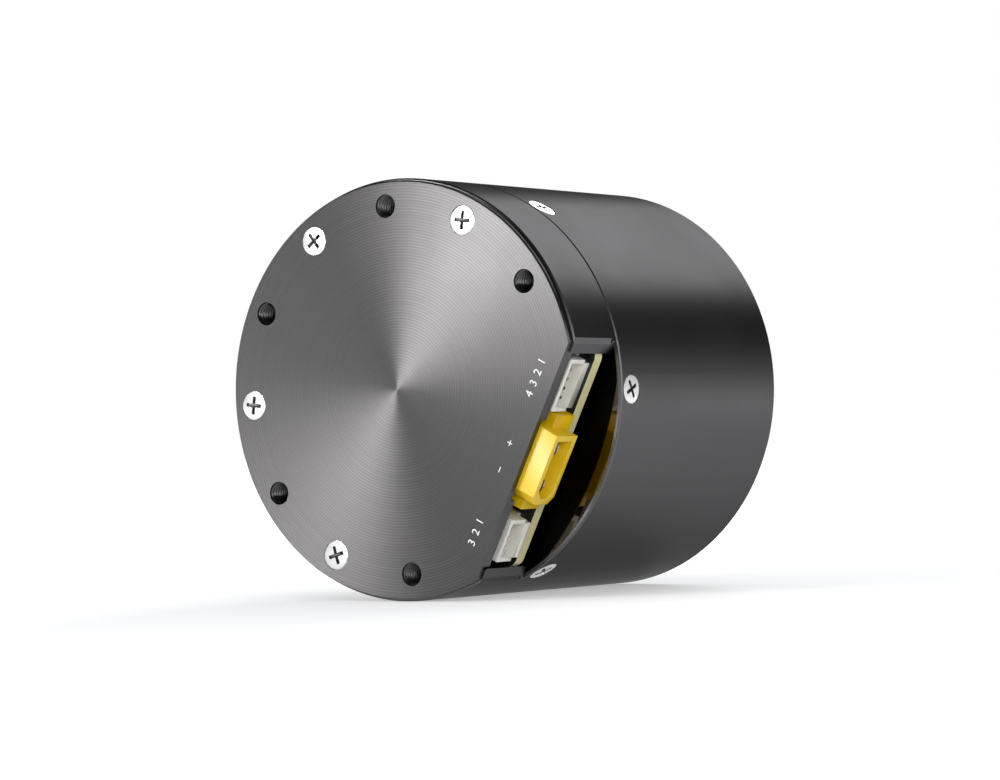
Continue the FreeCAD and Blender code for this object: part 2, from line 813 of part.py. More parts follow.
def make_seal():
    """Seal in the cover's lip: a heel on the bearing's shield and a shallow groove in the front face."""
    inside = output_radius + running_gap
    outside = output_radius + seal_width - locating_gap
    heel = output_bearing_bore / 2 + output_race + 2 * running_gap
    third = (outside - inside) / 3
    return turned((inside, bearing_front + shield_inset), (heel, bearing_front + shield_inset),
                  (heel, bearing_front - shield_inset), (outside, bearing_front - shield_inset),
                  (outside, case_length - fine_chamfer),
                  (outside - third, case_length - fine_chamfer),
                  (outside - third, case_length - edge_chamfer),
                  (inside + third, case_length - edge_chamfer), (inside + third, case_length - fine_chamfer),
                  (inside, case_length - fine_chamfer))


def make_output_flange():
    """Output flange: second carrier behind, bearing journal, and the driven face in front."""
    pilot = pilot_diameter / 2
    body = turned((0, output_rear), (output_radius + output_shoulder_rim, output_rear),
                  (output_radius + output_shoulder_rim, bearing_rear), (output_radius, bearing_rear),
                  (output_radius, output_front - edge_chamfer), (output_radius - edge_chamfer, output_front),
                  (pilot + fine_chamfer, output_front), (pilot, output_front - fine_chamfer),
                  (pilot, output_front - pilot_depth), (0, output_front - pilot_depth))
    tools = pin_set(pin_diameter / 2 + locating_gap / 2, output_rear - overshoot, output_rear + pin_seat)
    start = 180.0 / output_hole_count
    for angle in spaced(output_hole_count, start):
        tools.append(rod(output_hole / 2, output_front - output_hole_depth, output_front + overshoot,
                         spot(output_circle / 2, angle)))
    return clean(body.cut(tools))


# ---- Nodes -------------------------------------------------------------------------------------


def main():
    os.makedirs("parts", exist_ok=True)

    write("end_plate", make_end_plate())
    write("end_plate_screws", *[facing_rear(countersunk(plate_screw_length), angle)
                                for angle in plate_screw_angles])
    write("rear_housing", make_rear_housing())
    write("driver_board", make_board())
    write("board_screws", *make_board_screws())
    write("board_chips", *make_chips())
    write("power_transistors", *make_transistors())
    write("bulk_capacitors", *make_capacitors())
    write("encoder_chip", make_encoder_chip())
    write("power_connector", make_power_connector())
    write("power_pins", *make_power_pins())
    write("can_header", make_header(can_contacts, can_offset, can_setback))
    write("can_contacts", *make_contacts(can_contacts, can_offset, can_setback))
    write("uart_header", make_header(uart_contacts, uart_offset, uart_setback))
    write("uart_contacts", *make_contacts(uart_contacts, uart_offset, uart_setback))

    write("motor_bearing_outer_races", *motor_outer_races())
    write("stator_core", make_stator_core())
    write("stator_coils", *make_coils())
    write("phase_leads", *make_phase_leads())
    write("motor_bearing_inner_races", *motor_inner_races())
    write("rotor_shaft", make_rotor_shaft())
    write("encoder_magnet", make_encoder_magnet())
    write("rotor_bell", make_bell())
    write("rotor_magnets", *make_magnets())

    write("ring_gear", make_ring_gear())
    write("gear_partition", make_partition())
    write("first_carrier", make_carrier())
    write("first_carrier_pins", *pin_set(pin_diameter / 2, first_rear, carrier_front))
    write("output_pins", *pin_set(pin_diameter / 2, second_rear, output_rear + pin_seat - locating_gap))
    first_planet = make_planet(first_rear, first_front)
    second_planet = make_planet(second_rear, second_front)
    for index, angle in enumerate(orbit_angles(), start=1):
        write("first_planet_%d" % index, in_orbit(first_planet, angle))
        write("second_planet_%d" % index, in_orbit(second_planet, angle))

    write("sleeve", make_sleeve())
    write("sleeve_screws", *[facing_outwards(countersunk(sleeve_screw_length), angle)
                             for angle in sleeve_screw_angles])
    write("front_cover", make_front_cover())
    write("front_cover_screws", *[facing_front(countersunk(cover_screw_length), angle, case_length)
                                  for angle in between_mounts])
    write("output_bearing_outer_race", outer_race(output_bearing_bore, output_bearing_outside, output_race,
                                                  output_bearing_width, bearing_rear))
    write("output_bearing_inner_race", inner_race(output_bearing_bore, output_race, output_bearing_width,
                                                  bearing_rear))
    write("output_seal", make_seal())
    write("output_flange", make_output_flange())


main()
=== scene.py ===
"""Finishes and fine detail of a robot joint actuator, with its floor, lamps and camera.

The part lies on its side: its output axis is +Y, its rear cover faces -Y and the flat of its driver bay
faces +X and a little down. Lengths are in metres.
"""
import json
import math

import bmesh
import bpy
import numpy as np
from bpy.props import FloatProperty, FloatVectorProperty, PointerProperty
from bpy.types import Operator, Panel, PropertyGroup
from mathutils import Matrix, Vector


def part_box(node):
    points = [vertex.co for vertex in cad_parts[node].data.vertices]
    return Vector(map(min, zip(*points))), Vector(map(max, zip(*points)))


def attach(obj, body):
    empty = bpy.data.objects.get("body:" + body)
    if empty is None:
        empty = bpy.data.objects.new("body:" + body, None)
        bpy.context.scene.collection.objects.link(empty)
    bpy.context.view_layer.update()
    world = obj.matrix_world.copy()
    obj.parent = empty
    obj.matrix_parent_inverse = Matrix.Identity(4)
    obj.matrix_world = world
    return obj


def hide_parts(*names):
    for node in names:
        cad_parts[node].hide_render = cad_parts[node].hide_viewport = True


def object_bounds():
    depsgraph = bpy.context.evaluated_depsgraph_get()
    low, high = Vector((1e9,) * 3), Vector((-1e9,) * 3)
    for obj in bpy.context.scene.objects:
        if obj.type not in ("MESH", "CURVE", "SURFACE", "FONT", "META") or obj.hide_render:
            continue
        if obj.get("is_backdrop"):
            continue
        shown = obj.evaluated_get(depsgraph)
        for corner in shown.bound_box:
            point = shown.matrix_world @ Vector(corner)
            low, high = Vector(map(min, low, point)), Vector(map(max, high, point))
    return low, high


bl_info = {
    "name": "Joint actuator finish",
    "version": (1, 0, 0),
    "blender": (4, 5, 0),
    "location": "View3D > Sidebar > Actuator",
    "description": "Screws, threads, contacts, markings and finishes of a joint actuator",
    "category": "Object",
}

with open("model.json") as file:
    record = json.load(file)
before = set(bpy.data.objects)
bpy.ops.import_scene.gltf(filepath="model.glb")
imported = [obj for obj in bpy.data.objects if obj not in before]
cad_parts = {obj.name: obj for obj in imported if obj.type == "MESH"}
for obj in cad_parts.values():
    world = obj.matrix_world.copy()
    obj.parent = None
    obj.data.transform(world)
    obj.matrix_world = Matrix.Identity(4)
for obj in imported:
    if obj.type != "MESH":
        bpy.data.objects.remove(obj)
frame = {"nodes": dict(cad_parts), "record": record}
MOUNTS = {mount["name"]: mount for mount in frame["record"]["mounts"]}
MM = 0.001
CASE_RADIUS = 26.5 * MM
SCREW_HEAD = 1.85 * MM
SCREW_THREAD = 1.0 * MM
COVER_SCREW, SEAM_SCREW, FRONT_SCREW = 6.0 * MM, 3.0 * MM, 8.0 * MM      # lengths
SEAM_SCREW_TURN = 25.2        # degrees from the middle of the flat to the first seam screw
TAPPED_HOLE = 1.5 * MM
REAR_THREAD, FRONT_THREAD, OUTPUT_THREAD = 4.8 * MM, 4.1 * MM, 4.9 * MM  # lengths
THREAD_SIDES = 40
ROWS_PER_TURN = 7
PLATE_EDGE = 20.6 * MM        # axis to the cover plate's cut edge
PIN_RADIUS = 0.98 * MM
PIN_PLACE = 2.5 * MM          # middle of the power connector to a pin
PIN_ROOT, PIN_TIP = 9.5 * MM, 0.8 * MM  # depths under the connector's mouth
NUMERAL_PITCH = 1.45 * MM     # pin number to pin number
SIGN_PLACES = {"+": 1.2 * MM, "−": -2.4 * MM}  # along the flat
BAY_FLOOR = 9.80 * MM         # axial height above which a face square to the axis is the bay floor
SATIN_GRAIN = {"Size": 0.045, "Cloud": 12.0}
SATIN_EDGE = (0.35, 0.35, 0.35, 1.0)  # tint of a satin surface seen along itself


def mount_place(name):
    """Middle of a mount of the record, in metres."""
    return np.array(MOUNTS[name]["pos_m"])


# Directions of the driver bay: square out of its flat, and along the flat towards the four-way header.
OUT = np.array(MOUNTS["power_input"]["axis"], dtype=float)
OUT /= np.linalg.norm(OUT)
REAR = np.array((0.0, -1.0, 0.0))
ALONG = np.cross(REAR, OUT)
FLAT_TURN = math.atan2(OUT[2], OUT[0])


# ---- Settings ----------------------------------------------------------------------------------


class ScrewSettings(PropertyGroup):
    recess_span: FloatProperty(name="Recess span", description="Tip to tip of the cross recess",
                               default=2.25 * MM, unit="LENGTH")
    recess_width: FloatProperty(name="Recess width", description="Width of one arm of the recess",
                                default=0.46 * MM, unit="LENGTH")
    recess_depth: FloatProperty(name="Recess depth", description="Depth of the recess at its middle",
                                default=0.85 * MM, unit="LENGTH")
    crown: FloatProperty(name="Crown", description="Height of the head's middle over its rim",
                         default=0.05 * MM, unit="LENGTH")


class ThreadSettings(PropertyGroup):
    pitch: FloatProperty(name="Pitch", description="Distance from one turn of the thread to the next",
                         default=0.5 * MM, unit="LENGTH")
    height: FloatProperty(name="Height", description="Height of the thread's crest over its root",
                          default=0.27 * MM, unit="LENGTH")


class ContactSettings(PropertyGroup):
    slot: FloatProperty(name="Slot", description="Width of the slot that splits a power pin",
                        default=0.34 * MM, unit="LENGTH")
    soften: FloatProperty(name="Edge rounding", description="Rounding of the moulded shells' edges",
                          default=0.09 * MM, unit="LENGTH")


class MarkSettings(PropertyGroup):
    height: FloatProperty(name="Height", description="Height of a printed numeral",
                          default=1.15 * MM, unit="LENGTH")
    setback: FloatProperty(name="Setback", description="Middle of the print to the edge of the cover plate",
                           default=2.5 * MM, unit="LENGTH")


class FinishSettings(PropertyGroup):
    cover: FloatVectorProperty(name="Cover", description="Colour of the turned covers", subtype="COLOR",
                               size=3, min=0.0, max=1.0, default=(0.088, 0.0855, 0.0855))
    sleeve: FloatVectorProperty(name="Sleeve", description="Colour of the sleeve and rear housing",
                                subtype="COLOR", size=3, min=0.0, max=1.0, default=(0.105, 0.105, 0.107))
    power: FloatVectorProperty(name="Power shell", description="Colour of the power connector",
                               subtype="COLOR", size=3, min=0.0, max=1.0, default=(0.88, 0.58, 0.008))
    header: FloatVectorProperty(name="Headers", description="Colour of the signal headers",
                                subtype="COLOR", size=3, min=0.0, max=1.0, default=(0.90, 0.89, 0.82))
    board_edge: FloatVectorProperty(name="Board edge", description="Colour of the board's bare edge",
                                    subtype="COLOR", size=3, min=0.0, max=1.0, default=(0.80, 0.74, 0.42))
    screws: FloatVectorProperty(name="Screws", description="Colour of the plated screws", subtype="COLOR",
                                size=3, min=0.0, max=1.0, default=(0.60, 0.60, 0.595))
    ring_pitch: FloatProperty(name="Turning pitch", description="Feed of the turning marks on the covers",
                              default=0.36 * MM, unit="LENGTH")


class StageSettings(PropertyGroup):
    floor_size: FloatProperty(name="Floor", description="Side of the pale floor", default=14.0,
                              unit="LENGTH")
    floor_glow: FloatProperty(name="Floor glow", description="Brightness of the floor in full shadow",
                              default=0.38, min=0.0)
    key: FloatProperty(name="Key", description="Power of the large lamp over the rear cover",
                       default=1.0, min=0.0)
    fill: FloatProperty(name="Fill", description="Power of the lamps beside and behind",
                        default=1.0, min=0.0)


# ---- Surfaces ----------------------------------------------------------------------------------


def grid_faces(rows, columns, around):
    """Quads of a grid of points, row after row, closed across its columns where it runs around."""
    last = columns if around else columns - 1
    row, column = np.meshgrid(np.arange(rows - 1), np.arange(last), indexing="ij")
    after = (column + 1) % columns
    return np.stack([row * columns + column, row * columns + after,
                     (row + 1) * columns + after, (row + 1) * columns + column], axis=-1).reshape(-1, 4)


def mesh_of(name, points, quads, body, material, shade=None):
    """A finished piece from points and quads. Quads whose two corners fall together become triangles.

    shade is a value for each point, which the material reads as the attribute "sunk" and turns into painted
    shade in the screws' recesses.
    """
    mesh = bpy.data.meshes.new(name)
    mesh.from_pydata(points.reshape(-1, 3).tolist(), [], quads.tolist())
    if shade is not None:
        mesh.attributes.new("sunk_and_shaded", "FLOAT", "POINT").data.foreach_set("value", shade.reshape(-1))
    mesh.validate()
    work = bpy.data.objects.new(name, mesh)
    bpy.context.scene.collection.objects.link(work)
    merge(mesh)
    mesh.materials.append(material)
    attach(work, body)
    return work


def merge(mesh, distance=1e-7):
    """Joins points that fall together, and turns all faces outwards."""
    work = bmesh.new()
    work.from_mesh(mesh)
    bmesh.ops.remove_doubles(work, verts=work.verts, dist=distance)
    bmesh.ops.dissolve_degenerate(work, dist=distance, edges=work.edges)
    bmesh.ops.recalc_face_normals(work, faces=work.faces)
    work.to_mesh(mesh)
    work.free()
    mesh.update()


def smooth(mesh, angle):
    """Shades the mesh smooth, but sharp where two faces meet at more than the angle."""
    mesh.shade_smooth()
    mesh.set_sharp_from_angle(angle=math.radians(angle))


def placed(points, origin, across, inward):
    """Points (x, y, depth) put at an origin: x runs along across and depth runs along inward."""
    across = np.asarray(across, dtype=float) / np.linalg.norm(across)
    inward = np.asarray(inward, dtype=float) / np.linalg.norm(inward)
    beside = np.cross(inward, across)
    return (np.asarray(origin) + points[..., :1] * across + points[..., 1:2] * beside
            + points[..., 2:3] * inward)


def merged_copy(node, name, soften):
    """A copy of a CAD node with its points merged and its edges rounded."""
    source = frame["nodes"][node]
    mesh = source.data.copy()
    mesh.name = name
    piece = bpy.data.objects.new(name, mesh)
    bpy.context.scene.collection.objects.link(piece)
    merge(mesh, 1e-6)
    bevel = piece.modifiers.new("soft edges", "BEVEL")
    bevel.width = soften
    bevel.segments = 2
    bevel.limit_method = "ANGLE"
    bevel.angle_limit = math.radians(30)
    bevel.use_clamp_overlap = True
    bevel.harden_normals = True
    smooth(mesh, 35)
    return piece


# ---- Shader parts ------------------------------------------------------------------------------


class Tree:
    """Small helper that adds nodes and links in a node tree."""

    def __init__(self, tree):
        self.tree = tree
        tree.nodes.clear()

    def add(self, kind, **values):
        """A new node. Each value sets a property of the node, or the input of that name."""
        node = self.tree.nodes.new(kind)
        for key, value in values.items():
            if hasattr(node, key):
                setattr(node, key, value)
            else:
                node.inputs[key.replace("_", " ")].default_value = value
        return node

    def link(self, source, target):
        """Joins an output socket to an input socket."""
        self.tree.links.new(source, target)

    def math(self, operation, *values):
        """Result of a math node on numbers or sockets."""
        node = self.add("ShaderNodeMath", operation=operation)
        for socket, value in zip(node.inputs, values):
            if isinstance(value, bpy.types.NodeSocket):
                self.link(value, socket)
            else:
                socket.default_value = value
        return node.outputs[0]

    def axes(self, kind="Object"):
        """The x, y and z sockets of a texture coordinate."""
        where = self.add("ShaderNodeTexCoord")
        split = self.add("ShaderNodeSeparateXYZ")
        self.link(where.outputs[kind], split.inputs[0])
        return split.outputs

    def from_axis(self, x, z):
        """Distance from the part's axis."""
        return self.math("SQRT", self.math("ADD", self.math("POWER", x, 2.0), self.math("POWER", z, 2.0)))

    def blend(self, factor, first, second):
        """Colour mix of two colours or sockets."""
        node = self.add("ShaderNodeMix", data_type="RGBA")
        for socket, value in ((node.inputs[0], factor), (node.inputs[6], first), (node.inputs[7], second)):
            if isinstance(value, bpy.types.NodeSocket):
                self.link(value, socket)
            elif isinstance(value, (int, float)):
                socket.default_value = value
            else:
                socket.default_value = (*tuple(value)[:3], 1.0)
        return node.outputs[2]

    def span(self, value, low, high, start, end):
        """Value mapped from low..high to start..end, held at both ends."""
        node = self.add("ShaderNodeMapRange")
        self.link(value, node.inputs[0])
        for socket, number in zip(node.inputs[1:5], (low, high, start, end)):
            socket.default_value = number
        return node.outputs[0]


def group(name, inputs, outputs):
    """An empty node group with named float inputs and outputs, and its tree helper."""
    made = bpy.data.node_groups.new(name, "ShaderNodeTree")
    for title, value in inputs:
        socket = made.interface.new_socket(name=title, in_out="INPUT", socket_type="NodeSocketFloat")
        socket.default_value = value
    for title in outputs:
        made.interface.new_socket(name=title, in_out="OUTPUT", socket_type="NodeSocketFloat")
    tree = Tree(made)
    return tree, tree.add("NodeGroupInput"), tree.add("NodeGroupOutput")


def make_turning_group():
    """Marks of a facing cut: fine rings about the part's axis, uneven from one to the next.

    Ring height is the sine of the distance from the axis over the pitch, times a noise of that distance.
    """
    tree, given, out = group("Turning marks", [("Pitch", 0.36), ("Wander", 0.5)], ["Height", "Shade"])
    x, _, z = tree.axes()
    radius = tree.math("MULTIPLY", tree.from_axis(x, z), 1000.0)
    turns = tree.math("DIVIDE", radius, given.outputs["Pitch"])
    wave = tree.math("SINE", tree.math("MULTIPLY", turns, 2 * math.pi))
    noise = tree.add("ShaderNodeTexNoise", noise_dimensions="1D", Scale=1.0, Detail=4.0, Roughness=0.75)
    tree.link(tree.math("MULTIPLY", turns, 0.55), noise.inputs["W"])
    rough = tree.math("SUBTRACT", noise.outputs[0], 0.5)
    strong = tree.math("ADD", 1.0, tree.math("MULTIPLY", rough, 3.0))
    height = tree.math("ADD", tree.math("MULTIPLY", wave, strong),
                       tree.math("MULTIPLY", tree.math("MULTIPLY", rough, 4.0), given.outputs["Wander"]))
    tree.link(height, out.inputs["Height"])
    tree.link(tree.math("ADD", 0.5, tree.math("MULTIPLY", height, 0.25)), out.inputs["Shade"])


def make_grain_group():
    """Fine even grain of blasted metal or a moulded surface, and slow cloudiness over it."""
    tree, given, out = group("Surface grain", [("Size", 0.05), ("Cloud", 6.0)], ["Height", "Cloud"])
    where = tree.add("ShaderNodeTexCoord")
    for size, detail, roughness, result in (("Size", 3.0, 0.6, "Height"), ("Cloud", 2.0, 0.5, "Cloud")):
        noise = tree.add("ShaderNodeTexNoise", Detail=detail, Roughness=roughness)
        tree.link(where.outputs["Object"], noise.inputs["Vector"])
        tree.link(tree.math("DIVIDE", 1000.0, given.outputs[size]), noise.inputs["Scale"])
        tree.link(noise.outputs[0], out.inputs[result])


def make_length_group():
    """Marks of turning along a round surface: rings spaced along the part's axis."""
    tree, given, out = group("Feed marks", [("Pitch", 0.2)], ["Height"])
    turns = tree.math("DIVIDE", tree.math("MULTIPLY", tree.axes()[1], 1000.0), given.outputs["Pitch"])
    noise = tree.add("ShaderNodeTexNoise", noise_dimensions="1D", Scale=1.0, Detail=3.0, Roughness=0.7)
    tree.link(turns, noise.inputs["W"])
    tree.link(noise.outputs[0], out.inputs["Height"])


def use_group(tree, name, **values):
    """A node that uses a node group, with values for its inputs."""
    node = tree.add("ShaderNodeGroup", node_tree=bpy.data.node_groups[name])
    for key, value in values.items():
        node.inputs[key].default_value = value
    return node


def new_finish(name, colour, roughness, metallic, **extra):
    """A material with a Principled BSDF whose even values are set on its own sockets."""
    material = bpy.data.materials.new(name)
    material.use_nodes = True
    tree = Tree(material.node_tree)
    shader = tree.add("ShaderNodeBsdfPrincipled")
    shader.inputs["Base Color"].default_value = (*tuple(colour)[:3], 1.0)
    shader.inputs["Roughness"].default_value = roughness
    shader.inputs["Metallic"].default_value = metallic
    for key, value in extra.items():
        shader.inputs[key.replace("_", " ")].default_value = value
    surface = tree.add("ShaderNodeOutputMaterial")
    tree.link(shader.outputs[0], surface.inputs[0])
    return material, tree, shader


def bump(tree, shader, height, strength, distance):
    """Puts a height on a shader's normal."""
    node = tree.add("ShaderNodeBump")
    node.inputs["Strength"].default_value = strength
    node.inputs["Distance"].default_value = distance
    tree.link(height, node.inputs["Height"])
    tree.link(node.outputs[0], shader.inputs["Normal"])


def rear_facing(tree):
    """Mask that is 1 on faces square to the part's axis and 0 on its sides."""
    return tree.span(tree.math("ABSOLUTE", tree.axes("Normal")[1]), 0.75, 0.9, 0.0, 1.0)


def turned_metal(name, colour, pitch, roughness=0.30, ring=0.20):
    """Dark anodised metal faced on a lathe: rings about the axis, stretched highlights across them."""
    material, tree, shader = new_finish(name, colour, roughness, 1.0, Anisotropic=0.88,
                                        Anisotropic_Rotation=0.25)
    marks = use_group(tree, "Turning marks", Pitch=pitch / MM, Wander=0.35)
    grain = use_group(tree, "Surface grain", Size=0.03, Cloud=9.0)
    face = rear_facing(tree)
    shade = tree.span(marks.outputs["Shade"], 0.0, 1.0, 0.80, 1.22)
    level = tree.math("ADD", 1.0, tree.math("MULTIPLY", face, tree.math("SUBTRACT", shade, 1.0)))
    tint = tree.add("ShaderNodeVectorMath", operation="SCALE")
    tint.inputs[0].default_value = tuple(colour)[:3]
    tree.link(level, tint.inputs["Scale"])
    tree.link(tint.outputs[0], shader.inputs["Base Color"])
    tree.link(tree.span(grain.outputs["Cloud"], 0.3, 0.7, roughness - 0.02, roughness + 0.03),
              shader.inputs["Roughness"])
    height = tree.math("ADD", tree.math("MULTIPLY", marks.outputs["Height"], face),
                       tree.math("MULTIPLY", grain.outputs["Height"], 0.25))
    bump(tree, shader, height, ring, 0.01 * MM)
    direction = tree.add("ShaderNodeTangent", direction_type="RADIAL", axis="Y")
    tree.link(direction.outputs[0], shader.inputs["Tangent"])
    return material


def satin_metal(name, colour, roughness=0.32):
    """Black anodised metal, turned and lightly blasted."""
    material, tree, shader = new_finish(name, colour, roughness, 1.0, Specular_Tint=SATIN_EDGE)
    grain = use_group(tree, "Surface grain", **SATIN_GRAIN)
    feed = use_group(tree, "Feed marks", Pitch=0.22)
    tree.link(tree.span(grain.outputs["Cloud"], 0.3, 0.7, roughness - 0.02, roughness + 0.03),
              shader.inputs["Roughness"])
    height = tree.math("ADD", tree.math("MULTIPLY", feed.outputs["Height"], 0.6), grain.outputs["Height"])
    bump(tree, shader, height, 0.12, 0.008 * MM)
    return material


def make_finishes(finish):
    """Every material of the part, by the record's slot names."""
    make_turning_group()
    make_grain_group()
    make_length_group()
    made = {
        "case_turned": turned_metal("turned cover", finish.cover, finish.ring_pitch),
        "output_metal": turned_metal("turned output", [v * 0.85 for v in finish.cover],
                                     finish.ring_pitch * 0.8),
        "case_satin": satin_metal("satin sleeve", finish.sleeve),
        "case_gloss": housing_finish(finish),
        "lamination": lamination_finish(),
        "board": board_finish(finish),
    }

    def metal(slot, colour, roughness, size, strength, **extra):
        """Adds a metal with a fine grain of a size in millimetres."""
        material, tree, shader = new_finish(slot.replace("_", " "), colour, roughness, 1.0, **extra)
        grain = use_group(tree, "Surface grain", Size=size, Cloud=2.0)
        tree.link(tree.span(grain.outputs["Cloud"], 0.3, 0.7, roughness * 0.8, roughness * 1.25),
                  shader.inputs["Roughness"])
        bump(tree, shader, grain.outputs["Height"], strength, 0.01 * MM)
        made[slot] = material
        return tree, shader

    def moulded(slot, colour, roughness, size, strength, **extra):
        """Adds a plastic, a little lighter and darker in slow clouds."""
        material, tree, shader = new_finish(slot.replace("_", " "), colour, roughness, 0.0, **extra)
        grain = use_group(tree, "Surface grain", Size=size, Cloud=2.5)
        dark = [v * 0.93 for v in colour]
        light = [min(1.0, v * 1.05) for v in colour]
        tree.link(tree.blend(tree.span(grain.outputs["Cloud"], 0.3, 0.7, 0.0, 1.0), dark, light),
                  shader.inputs["Base Color"])
        tree.link(tree.span(grain.outputs["Height"], 0.3, 0.7, roughness * 0.9, roughness * 1.12),
                  shader.inputs["Roughness"])
        bump(tree, shader, grain.outputs["Height"], strength, 0.01 * MM)
        made[slot] = material

    tree, shader = metal("bright_steel", finish.screws, 0.24, 0.25, 0.05)
    # Painted shade: points in the screws' cross recesses are coloured dark grey in place of the plating.
    recess = tree.add("ShaderNodeAttribute", attribute_name="sunk_and_shaded")
    tree.link(tree.blend(recess.outputs["Fac"], finish.screws, (0.20, 0.20, 0.20)),
              shader.inputs["Base Color"])
    metal("bearing_steel", (0.62, 0.63, 0.65), 0.16, 0.2, 0.05)
    metal("gear_steel", (0.42, 0.43, 0.45), 0.30, 0.12, 0.12)
    metal("copper", (0.62, 0.25, 0.11), 0.28, 0.2, 0.1, Coat_Weight=0.5)
    metal("magnet", (0.56, 0.57, 0.58), 0.22, 0.25, 0.05)
    metal("plain_aluminium", (0.72, 0.73, 0.74), 0.32, 0.15, 0.1)
    metal("capacitor", (0.68, 0.69, 0.70), 0.25, 0.2, 0.06)
    metal("contact", (0.66, 0.64, 0.58), 0.28, 0.2, 0.05)
    moulded("chip", (0.022, 0.022, 0.024), 0.45, 0.06, 0.15)
    moulded("yellow_nylon", finish.power, 0.33, 0.10, 0.06, Subsurface_Weight=0.05,
            Subsurface_Scale=0.5 * MM)
    moulded("white_nylon", finish.header, 0.40, 0.10, 0.06, Subsurface_Weight=0.08,
            Subsurface_Scale=0.5 * MM)
    moulded("seal_rubber", (0.018, 0.018, 0.019), 0.55, 0.08, 0.2)
    moulded("print", (0.90, 0.90, 0.91), 0.55, 0.05, 0.05)
    return made


def housing_finish(finish):
    """Rear housing: satin outside like the sleeve, a polished floor in the bay, painted shade on that floor
    as a dull black zone, and a painted highlight on the outer edge of the bay's end face.

    The painted shade covers the floor up to a shallow arc: distance out of the axis, plus the square of the
    distance along the flat over a length, is under a limit.
    """
    material, tree, shader = new_finish("rear housing", finish.sleeve, 0.3, 1.0, Specular_Tint=SATIN_EDGE)
    # Radii at which the painted highlight on the outer edge of the bay's end face begins.
    highlight_start, highlight_end = 26.05 * MM, 26.2 * MM
    # Edge, softness and curve of the arc that bounds the painted shade on the bay floor.
    shade_edge, shade_end, shade_curve = 24.75 * MM, 24.95 * MM, 84.0 * MM
    x, y, z = tree.axes()
    radius = tree.from_axis(x, z)
    floor = tree.math("MULTIPLY", rear_facing(tree),
                      tree.span(y, BAY_FLOOR, BAY_FLOOR + 0.1 * MM, 0.0, 1.0))
    inside = tree.span(radius, highlight_start, highlight_end, 1.0, 0.0)
    bare = tree.math("MULTIPLY", floor, inside)
    # rim is the mask of the painted highlight on the outer band of the bay's end face.
    rim = tree.math("SUBTRACT", floor, bare)
    out, along = (tree.math("ADD", tree.math("MULTIPLY", x, float(way[0])),
                            tree.math("MULTIPLY", z, float(way[2]))) for way in (OUT, ALONG))
    bulge = tree.math("DIVIDE", tree.math("POWER", along, 2.0), shade_curve)
    polished = tree.math("MULTIPLY", bare, tree.span(tree.math("ADD", out, bulge), shade_edge, shade_end,
                                                     0.0, 1.0))
    painted_shade_zone = tree.math("SUBTRACT", bare, polished)
    colour = tree.blend(polished, finish.sleeve, (0.17, 0.14, 0.10))
    # Painted shade: the floor inside the arc is coloured near black and kept rough. It stands in for the
    # shade under the board.
    colour = tree.blend(painted_shade_zone, colour, (0.004, 0.004, 0.004))
    # Painted highlight: a lighter grey on the outer edge of the bay's end face, where light catches its
    # chamfer.
    colour = tree.blend(rim, colour, (0.20, 0.195, 0.21))
    tree.link(colour, shader.inputs["Base Color"])
    grain = use_group(tree, "Surface grain", **SATIN_GRAIN)
    satin = tree.span(grain.outputs["Cloud"], 0.3, 0.7, 0.29, 0.34)
    away = tree.math("SUBTRACT", 1.0, polished)
    tree.link(tree.math("ADD", tree.math("MULTIPLY", satin, away), tree.math("MULTIPLY", polished, 0.05)),
              shader.inputs["Roughness"])
    bump(tree, shader, tree.math("MULTIPLY", grain.outputs["Height"], away), 0.12, 0.008 * MM)
    return material


def board_finish(finish):
    """Circuit board: pale bare glass cloth on its edge, dark solder mask with fine tracks on its faces."""
    material, tree, shader = new_finish("circuit board", finish.board_edge, 0.35, 0.0)
    face = rear_facing(tree)
    where = tree.add("ShaderNodeTexCoord")
    turn = tree.add("ShaderNodeMapping")
    turn.inputs["Rotation"].default_value = (0.0, FLAT_TURN, 0.0)
    tree.link(where.outputs["Object"], turn.inputs["Vector"])
    tracks = tree.add("ShaderNodeTexBrick", offset=0.5, Scale=900.0)
    tracks.inputs["Mortar Size"].default_value = 0.035
    tree.link(turn.outputs[0], tracks.inputs["Vector"])
    tracks.inputs["Color1"].default_value = (0.010, 0.012, 0.011, 1.0)
    tracks.inputs["Color2"].default_value = (0.013, 0.016, 0.014, 1.0)
    tracks.inputs["Mortar"].default_value = (0.03, 0.034, 0.03, 1.0)
    layers = tree.math("SINE", tree.math("MULTIPLY", tree.axes()[1], 2 * math.pi / (0.27 * MM)))
    pale = tree.blend(tree.span(layers, -1.0, 1.0, 0.0, 1.0), [v * 0.92 for v in finish.board_edge],
                      finish.board_edge)
    tree.link(tree.blend(face, pale, tracks.outputs[0]), shader.inputs["Base Color"])
    tree.link(tree.span(face, 0.0, 1.0, 0.5, 0.22), shader.inputs["Roughness"])
    bump(tree, shader, tracks.outputs["Fac"], 0.1, 0.01 * MM)
    return material


def lamination_finish():
    """Stack of thin steel sheets: dark lines every 0.35 mm along the axis."""
    material, tree, shader = new_finish("stacked steel", (0.2, 0.2, 0.22), 0.45, 1.0)
    sheets = tree.math("SINE", tree.math("MULTIPLY", tree.axes()[1], 2 * math.pi / (0.35 * MM)))
    tree.link(tree.blend(tree.span(sheets, 0.6, 1.0, 0.0, 1.0), (0.22, 0.22, 0.24), (0.07, 0.07, 0.08)),
              shader.inputs["Base Color"])
    bump(tree, shader, sheets, 0.15, 0.01 * MM)
    return material


FINISHES = {}


# ---- Screws ------------------------------------------------------------------------------------


